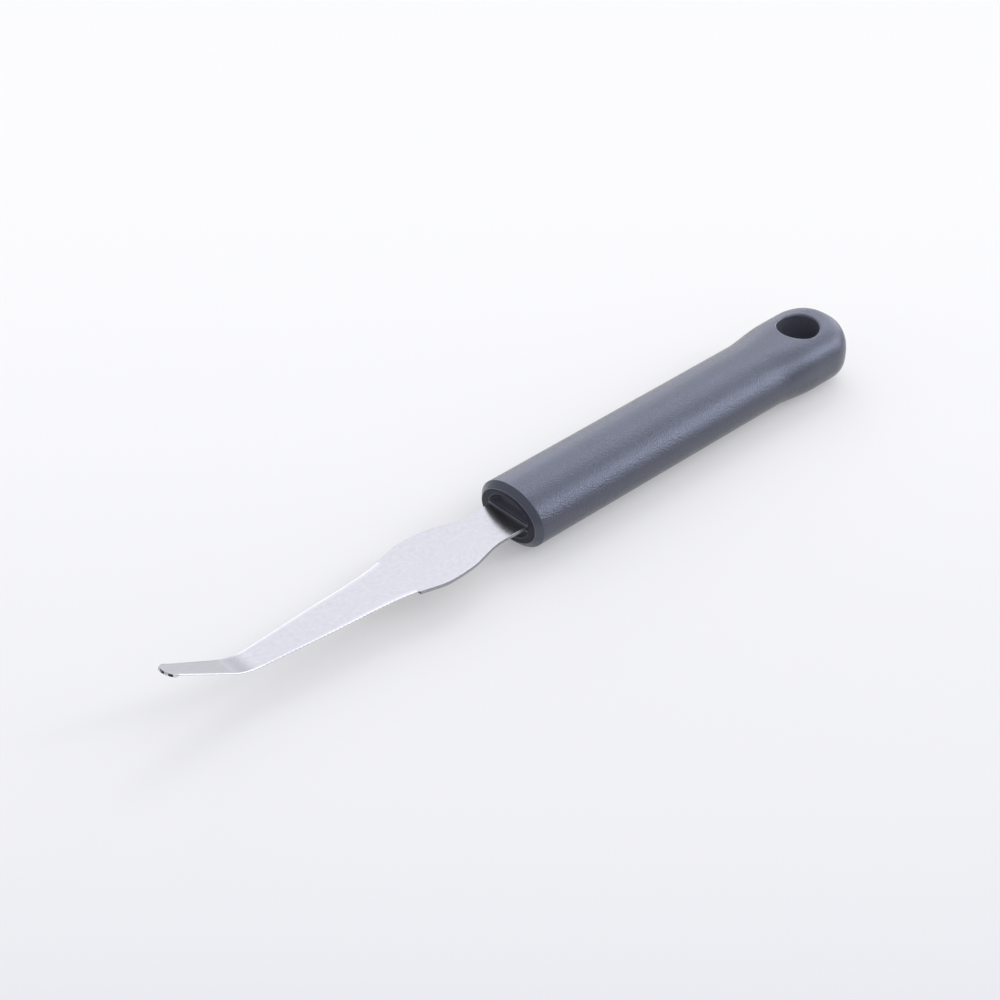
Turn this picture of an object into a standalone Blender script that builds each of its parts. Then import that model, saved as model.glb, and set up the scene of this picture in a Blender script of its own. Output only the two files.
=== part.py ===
"""Grapefruit knife: a stamped blade with a bent tip, in a hollow oval handle with a hang hole.

Metres, +Z up. The knife lies on its handle's underside, with the origin below its middle on that surface.
+X runs from the blade's tip to the handle's eye, and the knife is alike on both sides of Y = 0.
"""
from math import cos, pi, radians, sin

import bmesh
import bpy
from mathutils import Vector

MM = 0.001
CLEARANCE = 0.3 * MM  # between any two of the pieces

# Handle shell, measured along X from its front face
HANDLE_LENGTH = 107.0 * MM
BODY_WIDTH = 20.0 * MM
BODY_HEIGHT = 14.86 * MM
SHELL_WALL = 1.65 * MM
FRONT_LAND = 0.25 * MM  # flat ring that the chamfer leaves on the front face
CHAMFER_DEPTH = 1.35 * MM

# Eye end, with its hang hole
HOLE_DIAMETER = 10.2 * MM
EYE_SIDE_WALL = 5.45 * MM
EYE_END_WALL = 6.7 * MM
EYE_FRONT_WALL = 6.0 * MM  # between the hollow and the hole
FLARE_LENGTH = 13.0 * MM
FLARE_END_TO_HOLE = 3.2 * MM  # from the flare's end to the hole's middle
END_ROUNDING = 8.9 * MM
EYE_SQUARENESS = 2.6  # power of the section's curve, where 2 is an ellipse
END_POWER_PLAN = 2.2
END_POWER_SIDE = 3.8

# Blade, measured along the strip from the handle's front face
SHEET = 0.9 * MM
FLAT_LENGTH = 70.0 * MM
BEND_RADIUS = 17.5 * MM
BEND_ANGLE = radians(28.4)
TIP_LENGTH = 16.55 * MM  # straight end beyond the bend, rounding included
TIP_SHEET = 0.6 * MM  # thickness at the very end, thinned from below
BLADE_PITCH = radians(0.6)
NECK_WIDTH = 11.6 * MM
NECK_LENGTH = 7.0 * MM
CHEEK_WIDTH = 16.2 * MM  # where the widening neck turns into the belly
CHEEK_AT = 17.6 * MM
BELLY_WIDTH = 17.1 * MM
BELLY_AT = 24.3 * MM
HEEL_WIDTH = 13.9 * MM  # where the ground edges start
HEEL_AT = 31.7 * MM
WAIST_WIDTH = 11.9 * MM  # where the belly's curve turns into the long taper
WAIST_AT = 38.0 * MM
TAPER_WIDTH = 9.8 * MM  # halfway down the taper
TAPER_AT = 53.0 * MM
BEND_WIDTH = 7.0 * MM  # at the end of the flat length
TIP_WIDTH = 4.5 * MM  # where the rounded end starts
TIP_ROUNDING = 2.6 * MM
GRIND_WIDTH = 1.5 * MM
EDGE_THICKNESS = 0.15 * MM
HEEL_RAMP = 0.4 * MM  # length over which the ground edge starts and ends

# Tang, the strip's inner end
SHOULDER_DEPTH = 6.0 * MM
SHOULDER_RAMP = 1.5 * MM
TANG_LENGTH = 52.0 * MM
TANG_WIDTH = 7.2 * MM
TANG_CORNER = 1.8 * MM  # radius of the corners at its end
TANG_HOLE = 3.2 * MM
TANG_HOLES_AT = (20.0 * MM, 38.0 * MM)

# Front plug, the tang's holder
FLANGE_LENGTH = 8.0 * MM
POCKET_DEPTH = 3.0 * MM
POCKET_SIDE_RIM = 1.6 * MM
POCKET_TOP_RIM = 0.7 * MM
WEB_SKIN = 0.5 * MM  # plastic above and below the blade, between the pockets
WEB_ROOT = 0.4 * MM  # how far the web runs into the rim
SPINE_WALL = 2.0 * MM
PLUG_TAIL = 2.5 * MM  # plug beyond the tang's end
RIB_THICKNESS = 1.6 * MM
RIB_COUNT = 3

SEGMENTS = 48  # around an oval section
FLARE_STEPS = 10
END_STEPS = 14
BLADE_STEP = 2.0 * MM
BEND_STEPS = 8
TIP_STEPS = 4
ROUND_STEPS = 7
CORNER_STEPS = 4
SHARP_ANGLE = radians(30)  # edges flatter than this are shaded smooth

HALF_WIDTH = BODY_WIDTH / 2
HALF_HEIGHT = BODY_HEIGHT / 2
EYE_HALF_WIDTH = HOLE_DIAMETER / 2 + EYE_SIDE_WALL
HOLE_X = HANDLE_LENGTH - EYE_END_WALL - HOLE_DIAMETER / 2
FLARE_END = HOLE_X - FLARE_END_TO_HOLE
FLARE_START = FLARE_END - FLARE_LENGTH
CAVITY_DEPTH = HOLE_X - HOLE_DIAMETER / 2 - EYE_FRONT_WALL
CAVITY_HALF_WIDTH = HALF_WIDTH - SHELL_WALL
CAVITY_HALF_HEIGHT = HALF_HEIGHT - SHELL_WALL
BEND_LENGTH = BEND_RADIUS * BEND_ANGLE
BLADE_LENGTH = FLAT_LENGTH + BEND_LENGTH + TIP_LENGTH
GRIND_END = BLADE_LENGTH - TIP_ROUNDING
PLUG_LENGTH = TANG_LENGTH + PLUG_TAIL
OVERRUN = 1.0 * MM  # how far a cutter starts outside what it cuts


def clear_scene():
    for obj in list(bpy.data.objects):
        bpy.data.objects.remove(obj, do_unlink=True)


def collection(name):
    made = bpy.data.collections.new(name)
    bpy.context.scene.collection.children.link(made)
    return made


def material(name, colour, roughness, metallic):
    made = bpy.data.materials.new(name)
    made.use_nodes = True
    shader = made.node_tree.nodes["Principled BSDF"]
    shader.inputs["Base Color"].default_value = (*colour, 1.0)
    shader.inputs["Roughness"].default_value = roughness
    shader.inputs["Metallic"].default_value = metallic
    made.diffuse_color = (*colour, 1.0)
    return made


def place(obj, group, parent):
    """Move an object into its collection, under its parent."""
    for holder in list(obj.users_collection):
        holder.objects.unlink(obj)
    group.objects.link(obj)
    obj.parent = parent
    return obj


def empty(name, group, parent=None, pitch=0.0):
    made = bpy.data.objects.new(name, None)
    group.objects.link(made)
    made.parent = parent
    made.rotation_euler.y = pitch
    return made


def loft(name, rings):
    """Closed solid through rings of equal count; a ring of one point closes an end as a pole."""
    mesh = bmesh.new()
    rows = [[mesh.verts.new(point) for point in ring] for ring in rings]
    for first, second in zip(rows, rows[1:]):
        count = len(first)
        for i in range(count):
            j = (i + 1) % count
            if len(second) == 1:
                mesh.faces.new((first[i], first[j], second[0]))
            else:
                mesh.faces.new((first[i], first[j], second[j], second[i]))
    for end in (rows[0], rows[-1]):
        if len(end) > 1:
            mesh.faces.new(end)
    bmesh.ops.recalc_face_normals(mesh, faces=mesh.faces)
    data = bpy.data.meshes.new(name)
    mesh.to_mesh(data)
    mesh.free()
    return bpy.data.objects.new(name, data)


def oval_bar(name, half_width, half_height, start, end):
    """Bar along X with an oval section, a cylinder turned half a step so that its lowest face is level."""
    bpy.ops.mesh.primitive_cylinder_add(vertices=SEGMENTS, radius=1.0, depth=1.0)
    bar = bpy.context.object
    bar.name = name
    bar.data.name = name
    turn = pi / SEGMENTS
    for vertex in bar.data.vertices:
        side = vertex.co.x * cos(turn) - vertex.co.y * sin(turn)
        up = vertex.co.x * sin(turn) + vertex.co.y * cos(turn)
        along = vertex.co.z + 0.5
        vertex.co = (start + along * (end - start), side * half_width, up * half_height)
    return bar


def box(name, low, high):
    bpy.ops.mesh.primitive_cube_add(size=1.0)
    made = bpy.context.object
    made.name = name
    made.data.name = name
    middle = (Vector(low) + Vector(high)) / 2
    size = Vector(high) - Vector(low)
    for vertex in made.data.vertices:
        vertex.co = Vector(c * s for c, s in zip(vertex.co, size)) + middle
    return made


def upright_pin(name, x, radius, half_height):
    bpy.ops.mesh.primitive_cylinder_add(vertices=SEGMENTS, radius=radius, depth=2 * half_height)
    made = bpy.context.object
    made.name = name
    made.data.name = name
    made.location.x = x
    return made


def boolean(target, tool, operation):
    """Cut the tool from the target, or join it, and hide it from the render."""
    step = target.modifiers.new(f"{operation.lower()} {tool.name}", "BOOLEAN")
    step.operation = operation
    step.object = tool
    step.solver = "EXACT"
    tool.hide_render = True
    tool.display_type = "WIRE"


def finish(obj, surface):
    obj.data.materials.append(surface)
    obj.data.shade_smooth()
    obj.data.set_sharp_from_angle(angle=SHARP_ANGLE)
    return obj


def ease(start, end, at):
    """0 before start, 1 after end, with a smooth step between."""
    t = min(max((at - start) / (end - start), 0.0), 1.0)
    return t * t * (3.0 - 2.0 * t)


def oval_ring(x, half_width, half_height, power):
    """Section at x, an ellipse at power 2 and squarer above it."""
    ring = []
    for i in range(SEGMENTS):
        angle = 2.0 * pi * (i + 0.5) / SEGMENTS
        side, up = cos(angle), sin(angle)
        reach = (abs(side) ** power + abs(up) ** power) ** (-1.0 / power)
        ring.append((x, half_width * side * reach, half_height * up * reach))
    return ring


def handle_ring(x):
    """The handle's outer section behind the chamfer."""
    flare = ease(FLARE_START, FLARE_END, x)
    half_width = HALF_WIDTH + (EYE_HALF_WIDTH - HALF_WIDTH) * flare
    power = 2.0 + (EYE_SQUARENESS - 2.0) * flare
    end = max(x - (HANDLE_LENGTH - END_ROUNDING), 0.0) / END_ROUNDING
    plan = max(1.0 - end ** END_POWER_PLAN, 0.0) ** (1.0 / END_POWER_PLAN)
    side = max(1.0 - end ** END_POWER_SIDE, 0.0) ** (1.0 / END_POWER_SIDE)
    return oval_ring(x, half_width * plan, HALF_HEIGHT * side, power)


def handle_shell(group, tools, root, surface):
    """Hollow oval body with a chamfered mouth, flaring to a rounded eye with a hole through it."""
    inset = SHELL_WALL - FRONT_LAND
    round_start = HANDLE_LENGTH - END_ROUNDING
    stations = [CHAMFER_DEPTH]
    stations += [FLARE_START + FLARE_LENGTH * i / FLARE_STEPS for i in range(FLARE_STEPS + 1)]
    stations += [round_start + END_ROUNDING * sin(pi / 2 * i / END_STEPS) for i in range(END_STEPS)]
    rings = [oval_ring(0.0, HALF_WIDTH - inset, HALF_HEIGHT - inset, 2.0)]
    rings += [handle_ring(x) for x in sorted(stations)]
    rings.append([(HANDLE_LENGTH, 0.0, 0.0)])
    shell = place(loft("handle_shell", rings), group, root)
    hollow = oval_bar("cut_hollow", CAVITY_HALF_WIDTH, CAVITY_HALF_HEIGHT, -OVERRUN, CAVITY_DEPTH)
    boolean(shell, place(hollow, tools, root), "DIFFERENCE")
    hole = upright_pin("cut_hang_hole", HOLE_X, HOLE_DIAMETER / 2, HALF_HEIGHT + OVERRUN)
    boolean(shell, place(hole, tools, root), "DIFFERENCE")
    return finish(shell, surface)


def strip_point(along, up):
    """Point on the bent strip: along from the front face to the tip, up from the sheet's middle."""
    if along <= FLAT_LENGTH:
        return -along, up
    turn = min((along - FLAT_LENGTH) / BEND_RADIUS, BEND_ANGLE)
    straight = max(along - FLAT_LENGTH - BEND_LENGTH, 0.0)
    radius = BEND_RADIUS - up
    x = -FLAT_LENGTH - radius * sin(turn) - straight * cos(turn)
    z = BEND_RADIUS - radius * cos(turn) + straight * sin(turn)
    return x, z


def outline_half_width(along):
    """Half width of the blade outside the handle, a smooth line through its named widths."""
    knots = (
        (0.0, NECK_WIDTH),
        (NECK_LENGTH, NECK_WIDTH),
        (CHEEK_AT, CHEEK_WIDTH),
        (BELLY_AT, BELLY_WIDTH),
        (HEEL_AT, HEEL_WIDTH),
        (WAIST_AT, WAIST_WIDTH),
        (TAPER_AT, TAPER_WIDTH),
        (FLAT_LENGTH, BEND_WIDTH),
        (GRIND_END, TIP_WIDTH),
    )
    steps = [(b[1] - a[1]) / (b[0] - a[0]) for a, b in zip(knots, knots[1:])]
    slopes = [0.0]
    for before, after in zip(steps, steps[1:]):
        slopes.append((before + after) / 2 if before * after > 0.0 else 0.0)
    slopes.append(steps[-1])
    for i in range(len(knots) - 1):
        (start, first), (end, last) = knots[i], knots[i + 1]
        if along <= end:
            break
    span = end - start
    t = min(max((along - start) / span, 0.0), 1.0)
    width = (
        first * (2 * t ** 3 - 3 * t ** 2 + 1)
        + slopes[i] * span * (t ** 3 - 2 * t ** 2 + t)
        + last * (3 * t ** 2 - 2 * t ** 3)
        + slopes[i + 1] * span * (t ** 3 - t ** 2)
    )
    return width / 2


def strip_ring(along, half_width, top, underside, ground=False):
    """Six-sided section of the strip; a ground one runs out to thin edges at its upper face."""
    bevel = min(GRIND_WIDTH, half_width / 2)
    edge = top - EDGE_THICKNESS if ground else underside
    corners = (
        (-half_width, top),
        (half_width, top),
        (half_width, edge),
        (half_width - bevel, underside),
        (bevel - half_width, underside),
        (-half_width, edge),
    )
    ring = []
    for side, up in corners:
        x, z = strip_point(along, up)
        ring.append((x, side, z))
    return ring


def tang_rings(grow):
    """Sections of the tang from its end to just inside the front face, larger all round by grow."""
    half_sheet = SHEET / 2 + grow
    narrow, wide = TANG_WIDTH / 2 + grow, NECK_WIDTH / 2 + grow
    end = -TANG_LENGTH - grow
    rings = []
    for i in range(CORNER_STEPS + 1):
        angle = pi / 2 * i / CORNER_STEPS
        along = end + TANG_CORNER * (1 - cos(angle))
        half_width = narrow - TANG_CORNER * (1 - sin(angle))
        rings.append(strip_ring(along, half_width, half_sheet, -half_sheet))
    rings.append(strip_ring(-SHOULDER_DEPTH - SHOULDER_RAMP - grow, narrow, half_sheet, -half_sheet))
    rings.append(strip_ring(-SHOULDER_DEPTH - grow, wide, half_sheet, -half_sheet))
    return rings


def underside_at(along):
    """Height of the strip's underside from the sheet's middle, rising towards the thinned end."""
    thinning = max(along - FLAT_LENGTH - BEND_LENGTH, 0.0) / TIP_LENGTH
    return -SHEET / 2 + (SHEET - TIP_SHEET) * thinning


def blade_rings():
    """Sections of the strip outside the handle, from the front face to the tip."""
    stops = [HEEL_AT, HEEL_AT + HEEL_RAMP, GRIND_END - HEEL_RAMP, GRIND_END]
    count = round(FLAT_LENGTH / BLADE_STEP)
    stops += [FLAT_LENGTH * i / count for i in range(count + 1)]
    stops += [FLAT_LENGTH + BEND_LENGTH * i / BEND_STEPS for i in range(1, BEND_STEPS + 1)]
    straight = GRIND_END - HEEL_RAMP - FLAT_LENGTH - BEND_LENGTH
    stops += [FLAT_LENGTH + BEND_LENGTH + straight * i / TIP_STEPS for i in range(1, TIP_STEPS)]
    rings = []
    for along in sorted(stops):
        ground = HEEL_AT < along < GRIND_END
        rings.append(strip_ring(along, outline_half_width(along), SHEET / 2, underside_at(along), ground))
    for i in range(1, ROUND_STEPS):
        angle = pi / 2 * i / ROUND_STEPS
        along = GRIND_END + TIP_ROUNDING * sin(angle)
        rings.append(strip_ring(along, TIP_WIDTH / 2 * cos(angle), SHEET / 2, underside_at(along)))
    return rings


def blade(group, tools, seat, surface):
    """Stamped strip: tang, neck, belly, ground taper and bent tip, with two holes in the tang."""
    strip = place(loft("blade", tang_rings(0.0) + blade_rings()), group, seat)
    for i, depth in enumerate(TANG_HOLES_AT):
        hole = upright_pin(f"cut_tang_hole_{i + 1}", depth, TANG_HOLE / 2, SHEET)
        boolean(strip, place(hole, tools, seat), "DIFFERENCE")
    return finish(strip, surface)


def front_plug(group, tools, root, seat, surface):
    """Tang holder: a flange with two half-moon pockets, a spine round the tang, ribs and pegs."""
    flange_half_width = CAVITY_HALF_WIDTH - CLEARANCE
    flange_half_height = CAVITY_HALF_HEIGHT - CLEARANCE
    plug = oval_bar("front_plug", flange_half_width, flange_half_height, 0.0, FLANGE_LENGTH)
    place(plug, group, root)
    pocket_half_width = flange_half_width - POCKET_SIDE_RIM
    pocket_half_height = flange_half_height - POCKET_TOP_RIM
    pocket = oval_bar("cut_pockets", pocket_half_width, pocket_half_height, -OVERRUN, POCKET_DEPTH)
    boolean(plug, place(pocket, tools, root), "DIFFERENCE")

    web_half_height = SHEET / 2 + CLEARANCE + WEB_SKIN
    web_half_width = pocket_half_width + WEB_ROOT
    web = box(
        "join_web",
        (0.0, -web_half_width, -web_half_height),
        (POCKET_DEPTH + OVERRUN, web_half_width, web_half_height),
    )
    boolean(plug, place(web, tools, root), "UNION")

    spine_half_width = TANG_WIDTH / 2 + CLEARANCE + SPINE_WALL
    spine_half_height = SHEET / 2 + CLEARANCE + SPINE_WALL
    spine = box(
        "join_spine",
        (FLANGE_LENGTH - OVERRUN, -spine_half_width, -spine_half_height),
        (PLUG_LENGTH, spine_half_width, spine_half_height),
    )
    boolean(plug, place(spine, tools, root), "UNION")
    for i in range(RIB_COUNT):
        start = FLANGE_LENGTH + (PLUG_LENGTH - FLANGE_LENGTH) * (i + 1) / (RIB_COUNT + 1)
        end = start + RIB_THICKNESS
        rib = oval_bar(f"join_rib_{i + 1}", flange_half_width, flange_half_height, start, end)
        boolean(plug, place(rib, tools, root), "UNION")

    slot_half_height = SHEET / 2 + CLEARANCE
    mouth = strip_ring(OVERRUN, NECK_WIDTH / 2 + CLEARANCE, slot_half_height, -slot_half_height)
    slot = loft("cut_slot", tang_rings(CLEARANCE) + [mouth])
    boolean(plug, place(slot, tools, seat), "DIFFERENCE")
    for i, depth in enumerate(TANG_HOLES_AT):
        radius = TANG_HOLE / 2 - CLEARANCE
        peg = upright_pin(f"join_peg_{i + 1}", depth, radius, spine_half_height - WEB_SKIN)
        boolean(plug, place(peg, tools, seat), "UNION")
    return finish(plug, surface)


def lay_on_origin(root, pieces):
    """Shift the whole knife so that the origin is below its middle, at its lowest point."""
    bpy.context.view_layer.update()
    graph = bpy.context.evaluated_depsgraph_get()
    corners = []
    for piece in pieces:
        solid = piece.evaluated_get(graph)
        corners += [solid.matrix_world @ vertex.co for vertex in solid.data.vertices]
    for axis in (0, 1):
        values = [corner[axis] for corner in corners]
        root.location[axis] -= (min(values) + max(values)) / 2
    root.location.z -= min(corner.z for corner in corners)
    bpy.context.view_layer.update()


def build():
    clear_scene()
    group = collection("grapefruit_knife")
    tools = collection("cutters")
    steel = material("satin_steel", (0.68, 0.68, 0.70), 0.32, 1.0)
    shell_plastic = material("slate_plastic", (0.088, 0.094, 0.125), 0.5, 0.0)
    plug_plastic = material("plug_plastic", (0.055, 0.058, 0.075), 0.55, 0.0)
    root = empty("knife", group)
    seat = empty("blade_seat", group, parent=root, pitch=BLADE_PITCH)
    pieces = [
        blade(group, tools, seat, steel),
        front_plug(group, tools, root, seat, plug_plastic),
        handle_shell(group, tools, root, shell_plastic),
    ]
    lay_on_origin(root, pieces)


build()
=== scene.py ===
"""Grapefruit knife: satin steel blade with ground edges, slate handle with a tang holder in its mouth.

Metres, in the same frame as the solids. Every size along the knife is measured from the handle's front
face.
"""

from collections import namedtuple
from math import asin, atan2, cos, hypot, pi, radians, sin, sqrt

import bmesh
import bpy
from mathutils import Matrix, Vector


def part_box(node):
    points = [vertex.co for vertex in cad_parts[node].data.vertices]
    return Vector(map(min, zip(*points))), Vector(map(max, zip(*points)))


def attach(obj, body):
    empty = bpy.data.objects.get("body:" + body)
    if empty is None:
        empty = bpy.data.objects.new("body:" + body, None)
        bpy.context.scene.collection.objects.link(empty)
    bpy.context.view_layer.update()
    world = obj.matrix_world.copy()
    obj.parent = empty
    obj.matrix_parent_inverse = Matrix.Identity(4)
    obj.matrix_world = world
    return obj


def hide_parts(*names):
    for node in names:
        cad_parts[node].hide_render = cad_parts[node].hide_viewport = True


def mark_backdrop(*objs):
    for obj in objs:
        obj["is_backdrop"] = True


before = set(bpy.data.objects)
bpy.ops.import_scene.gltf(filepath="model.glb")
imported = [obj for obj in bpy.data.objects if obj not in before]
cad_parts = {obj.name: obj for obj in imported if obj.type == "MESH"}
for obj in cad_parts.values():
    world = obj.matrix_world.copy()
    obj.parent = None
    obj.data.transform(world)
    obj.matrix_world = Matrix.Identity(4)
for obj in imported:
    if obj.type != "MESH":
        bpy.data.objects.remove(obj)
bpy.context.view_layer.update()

MM = 0.001

# Handle, as in the solids
HANDLE_LENGTH = 107.0 * MM
HALF_WIDTH = 10.0 * MM
HALF_HEIGHT = 7.425 * MM
BODY_SQUARENESS = 2.0  # 2 is an ellipse, more is squarer
CHAMFER_DEPTH = 1.35 * MM
CHAMFER_INSET = 1.4 * MM
FRONT_LAND = 0.25 * MM  # flat ring between the chamfer and the mouth
HOLLOW_DEPTH = 84.1 * MM
HOLE_X = 95.2 * MM
HOLE_RADIUS = 5.1 * MM
MOUTH_ROUNDING = 0.55 * MM  # of the hang hole
BORE_DRAFT = 0.1 * MM  # how much the bore narrows to its middle
EYE_HALF_WIDTH = 10.545 * MM
EYE_SQUARENESS = 2.6
FLARE_START = 79.0 * MM
FLARE_END = 92.0 * MM
END_ROUNDING = 8.9 * MM
END_POWER_PLAN = 2.2
END_POWER_SIDE = 3.8
EDGE_SOFTNESS = 0.08 * MM

# Mesh of the handle
AROUND = 192  # points round the handle
EDGE_STEPS = 4  # over a softened edge
MOUTH_ROW = 2.0 * MM  # depth of the row behind the front edge
BODY_STEPS = 50
FLARE_STEPS = 10
WINDOW_REACH = 8.0 * MM  # half length of the window of skin round the hang hole
WINDOW_POINTS = AROUND // 8 - 1  # points of the window to each side of its middle
WINDOW_STEPS = 20
END_STEPS = 24
EYE_STEPS = 9  # from the window's edge to the mouth of the hole
MOUTH_STEPS = 6
PLAIN_MOUTH_STEPS = 2  # the ones of them that keep the body's finish
BORE_STEPS = 10

# Tang holder
SEAM = 0.08 * MM  # between holder and shell
FLANGE_LENGTH = 8.0 * MM
FACE_ROW = 1.0 * MM  # depth of the row behind the face's edge
POCKET_HALF_WIDTH = 6.45 * MM
POCKET_HALF_HEIGHT = 4.75 * MM
POCKET_DEPTH = 2.4 * MM
POCKET_HOLLOW = 1.8 * MM  # how far its curved wall runs in to the floor
POCKET_MIDDLE = 2.6 * MM  # its middle's height over the blade's middle
POCKET_FLAT_SHARE = 0.3  # how far its flat side runs in, as a share of the curved wall
POCKET_CORNER_POWER = 14  # the higher, the sharper its two corners
POCKET_SOFTNESS = 0.18 * MM  # of its mouth
POCKET_POINTS = 120
POCKET_EDGE_STEPS = 5
POCKET_STEPS = 14
WEB = 0.45 * MM  # plastic left on the blade's face, between the pockets
LIP_HALF_WIDTH = 6.3 * MM
LIP_REACH = 0.15 * MM  # how far the web stands proud of the face
LIP_SOFTNESS = 0.12 * MM
LIP_FRONT = 0.5 * MM  # faces of the web in front of this depth take a lighter finish, a painted highlight along the lip
HOLDER_LENGTH = 54.5 * MM
SPINE_HALF_WIDTH = 5.9 * MM
SPINE_HALF_HEIGHT = 2.75 * MM
SPINE_SOFTNESS = 0.4 * MM
RIBS = 3
RIB_THICKNESS = 1.6 * MM
PEG_RADIUS = 1.3 * MM
PEG_SINK = 0.5 * MM  # how far the pegs end under the spine's skin
FIT = 0.02 * MM  # play round the tang
OVERLAP = 1.0 * MM  # how far parts reach into each other where they are joined or cut
HOLDER_CREASE = 30.0  # degrees, the least angle of a crisp edge

# Blade, as in the solids
SHEET = 0.9 * MM
TIP_SHEET = 0.6 * MM
FLAT_LENGTH = 70.0 * MM
BEND_RADIUS = 17.5 * MM
BEND_ANGLE = radians(28.4)
BEND_LENGTH = BEND_RADIUS * BEND_ANGLE
TIP_LENGTH = 16.55 * MM
TIP_ROUNDING = 2.6 * MM
TIP_END = 2.53 * MM  # length of the rounded end, kept inside the solid's
BLADE_LENGTH = FLAT_LENGTH + BEND_LENGTH + TIP_LENGTH
GRIND_END = BLADE_LENGTH - TIP_ROUNDING
BLADE_PITCH = radians(0.6)
HEEL_AT = 31.7 * MM
HEEL_RAMP = 0.5 * MM
HEEL_STEP = 0.25 * MM  # how far the grinding cuts into the outline
TIP_RAMP = 1.2 * MM  # over which the grinding runs out at the tip
TOP_BEVEL = 0.28 * MM
TOP_BEVEL_DROP = 0.12 * MM
GRIND_WIDTH = 1.5 * MM
GRIND_SHARE = 0.7  # the most of the half width that the grind may take
EDGE_THICKNESS = 0.15 * MM
BURR = 0.05 * MM  # rounding of the stamped corners
BURR_PULL = 0.35  # how far the stamped corner is pulled in
BEVEL_PULL = 0.2  # how far the ground corner is pulled down
PAINTED_PATCH_SCALE = 620.0  # dark and bright patches per metre on the blunt end; the dark ones are painted dark reflection
SERRATION_PITCH = 1.0 * MM
SERRATION_DEPTH = 0.07 * MM
SERRATION_POWER = 0.8  # the lower, the narrower the points between the scallops
SHOULDER_DEPTH = 6.0 * MM
SHOULDER_RAMP = 1.5 * MM
TANG_LENGTH = 52.0 * MM
TANG_HALF_WIDTH = 3.6 * MM
TANG_CORNER = 1.8 * MM
TANG_HOLE_RADIUS = 1.6 * MM
TANG_HOLES_AT = (20.0 * MM, 38.0 * MM)
OUTLINE = (  # distance from the handle and full width, in millimetres
    (0.0, 11.6), (7.0, 11.6), (17.6, 16.2), (24.3, 17.1), (31.7, 13.9),
    (38.0, 11.9), (53.0, 9.8), (70.0, 7.0), (GRIND_END / MM, 4.5),
)

# Mesh of the blade
TANG_CORNER_STEPS = 8
BELLY_STEPS = 64
SERRATION_STEPS = 8  # to one serration
TIP_STEPS = 16
TIP_SHORTFALL = 0.3  # of a step, so that the tip ends in a narrow face
PIN_POINTS = 48
TOP_BEVEL_FACES = range(4, 7)  # of half a section, from the middle of its top
EDGE_FACES = range(7, 9)
GRIND_FACES = range(9, 12)

# Finishes of each piece, by their place in its list
# The second slate is a lighter copy with painted light: a painted highlight on the front rim edge and the
# mouth of the hang hole, and painted light in its bore.
SLATE, PAINTED_LIGHT_SLATE = range(2)
# The second holder finish is a lighter copy that paints a highlight on the front of the lip.
HOLDER, PAINTED_LIGHT_HOLDER, POCKET = range(3)
SATIN, GROUND, SHEARED, BLUNT = range(4)

# Shading of every piece
CREASE = 40.0  # degrees, the least angle of a crisp edge
LARGE_FACE_WEIGHT = 80

# Studio
LENS = 82.66
SENSOR = 36.0
FLOOR_REACH = 3.0
# The floor's brightening towards the back is painted light falloff.
FLOOR_RUN = (2.13, 2.28, 0.0)  # how fast the floor brightens, per metre
FLOOR_RUN_START = 0.47  # how far it has brightened at the middle of the frame
FLOOR_STOPS = (
    (0.0, 0.0), (0.1, 0.27), (0.22, 0.45), (0.34, 0.545), (0.47, 0.674),
    (0.56, 0.79), (0.69, 0.865), (0.81, 0.933), (1.0, 1.0),
)
STUDIO_LEVEL = 0.12
STUDIO_PATCHES = (  # azimuth, height, sharpness and brightness
    # Broad light from above, from behind the knife and from the front
    (60, 60, 22, 1.12),
    (-60, 60, 22, 1.73),
    (95, 34, 22, 1.00),
    (-175, 30, 22, 0.35),
    (155, 15, 22, 0.70),
    (-112, 32, 14, 0.90),
    # Low boxes that the eye of the handle, the bent tip and the neck mirror
    (-40, 10, 80, 1.50),
    (-30, 12, 80, 1.50),
    (15, 8, 80, 3.00),
    (38, 2, 80, 1.05),
    (44, 22, 80, 0.48),
    (60, 12, 80, 1.90),
    # Higher boxes that the sides and the ridge of the handle and the flat of the blade mirror
    (-42, 26, 80, 1.70),
    (-14, 28, 80, 3.20),
    (14, 28, 80, 1.40),
    (61, 28, 80, 1.55),
    (26, 46, 80, 3.25),
    # Small lamp that glints along the near side of the handle
    (-40, 33, 400, 11.0),
)

FRONT_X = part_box("handle_shell")[0].x
AXIS_Z = (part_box("handle_shell")[0].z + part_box("handle_shell")[1].z) / 2
HANDLE_PLACE = Matrix.Translation((FRONT_X, 0.0, AXIS_Z))
BLADE_PLACE = HANDLE_PLACE @ Matrix.Rotation(BLADE_PITCH, 4, "Y")
CAMERA_PLACE = (FRONT_X - 272.3 * MM, -289.2 * MM, 316.3 * MM)
CAMERA_TARGET = (FRONT_X + 9.27 * MM, 12.58 * MM, 0.0)

# Vertex of the blade, with its distance along the strip, its distance round it and the grind there
Corner = namedtuple("Corner", "vertex along travelled ground")


# Finishes

class Value:
    """A number that varies over a surface; arithmetic on it adds Math nodes."""

    def __init__(self, socket):
        self.socket = socket

    def math(self, operation, first, second):
        """Math node on two values or numbers."""
        tree = self.socket.id_data
        node = tree.nodes.new("ShaderNodeMath")
        node.operation = operation
        for socket, value in zip(node.inputs, (first, second)):
            if isinstance(value, Value):
                tree.links.new(value.socket, socket)
            else:
                socket.default_value = value
        return Value(node.outputs[0])

    def __add__(self, other):
        return self.math("ADD", self, other)

    def __mul__(self, other):
        return self.math("MULTIPLY", self, other)

    def __pow__(self, other):
        return self.math("POWER", self, other)

    __radd__ = __add__
    __rmul__ = __mul__


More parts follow.
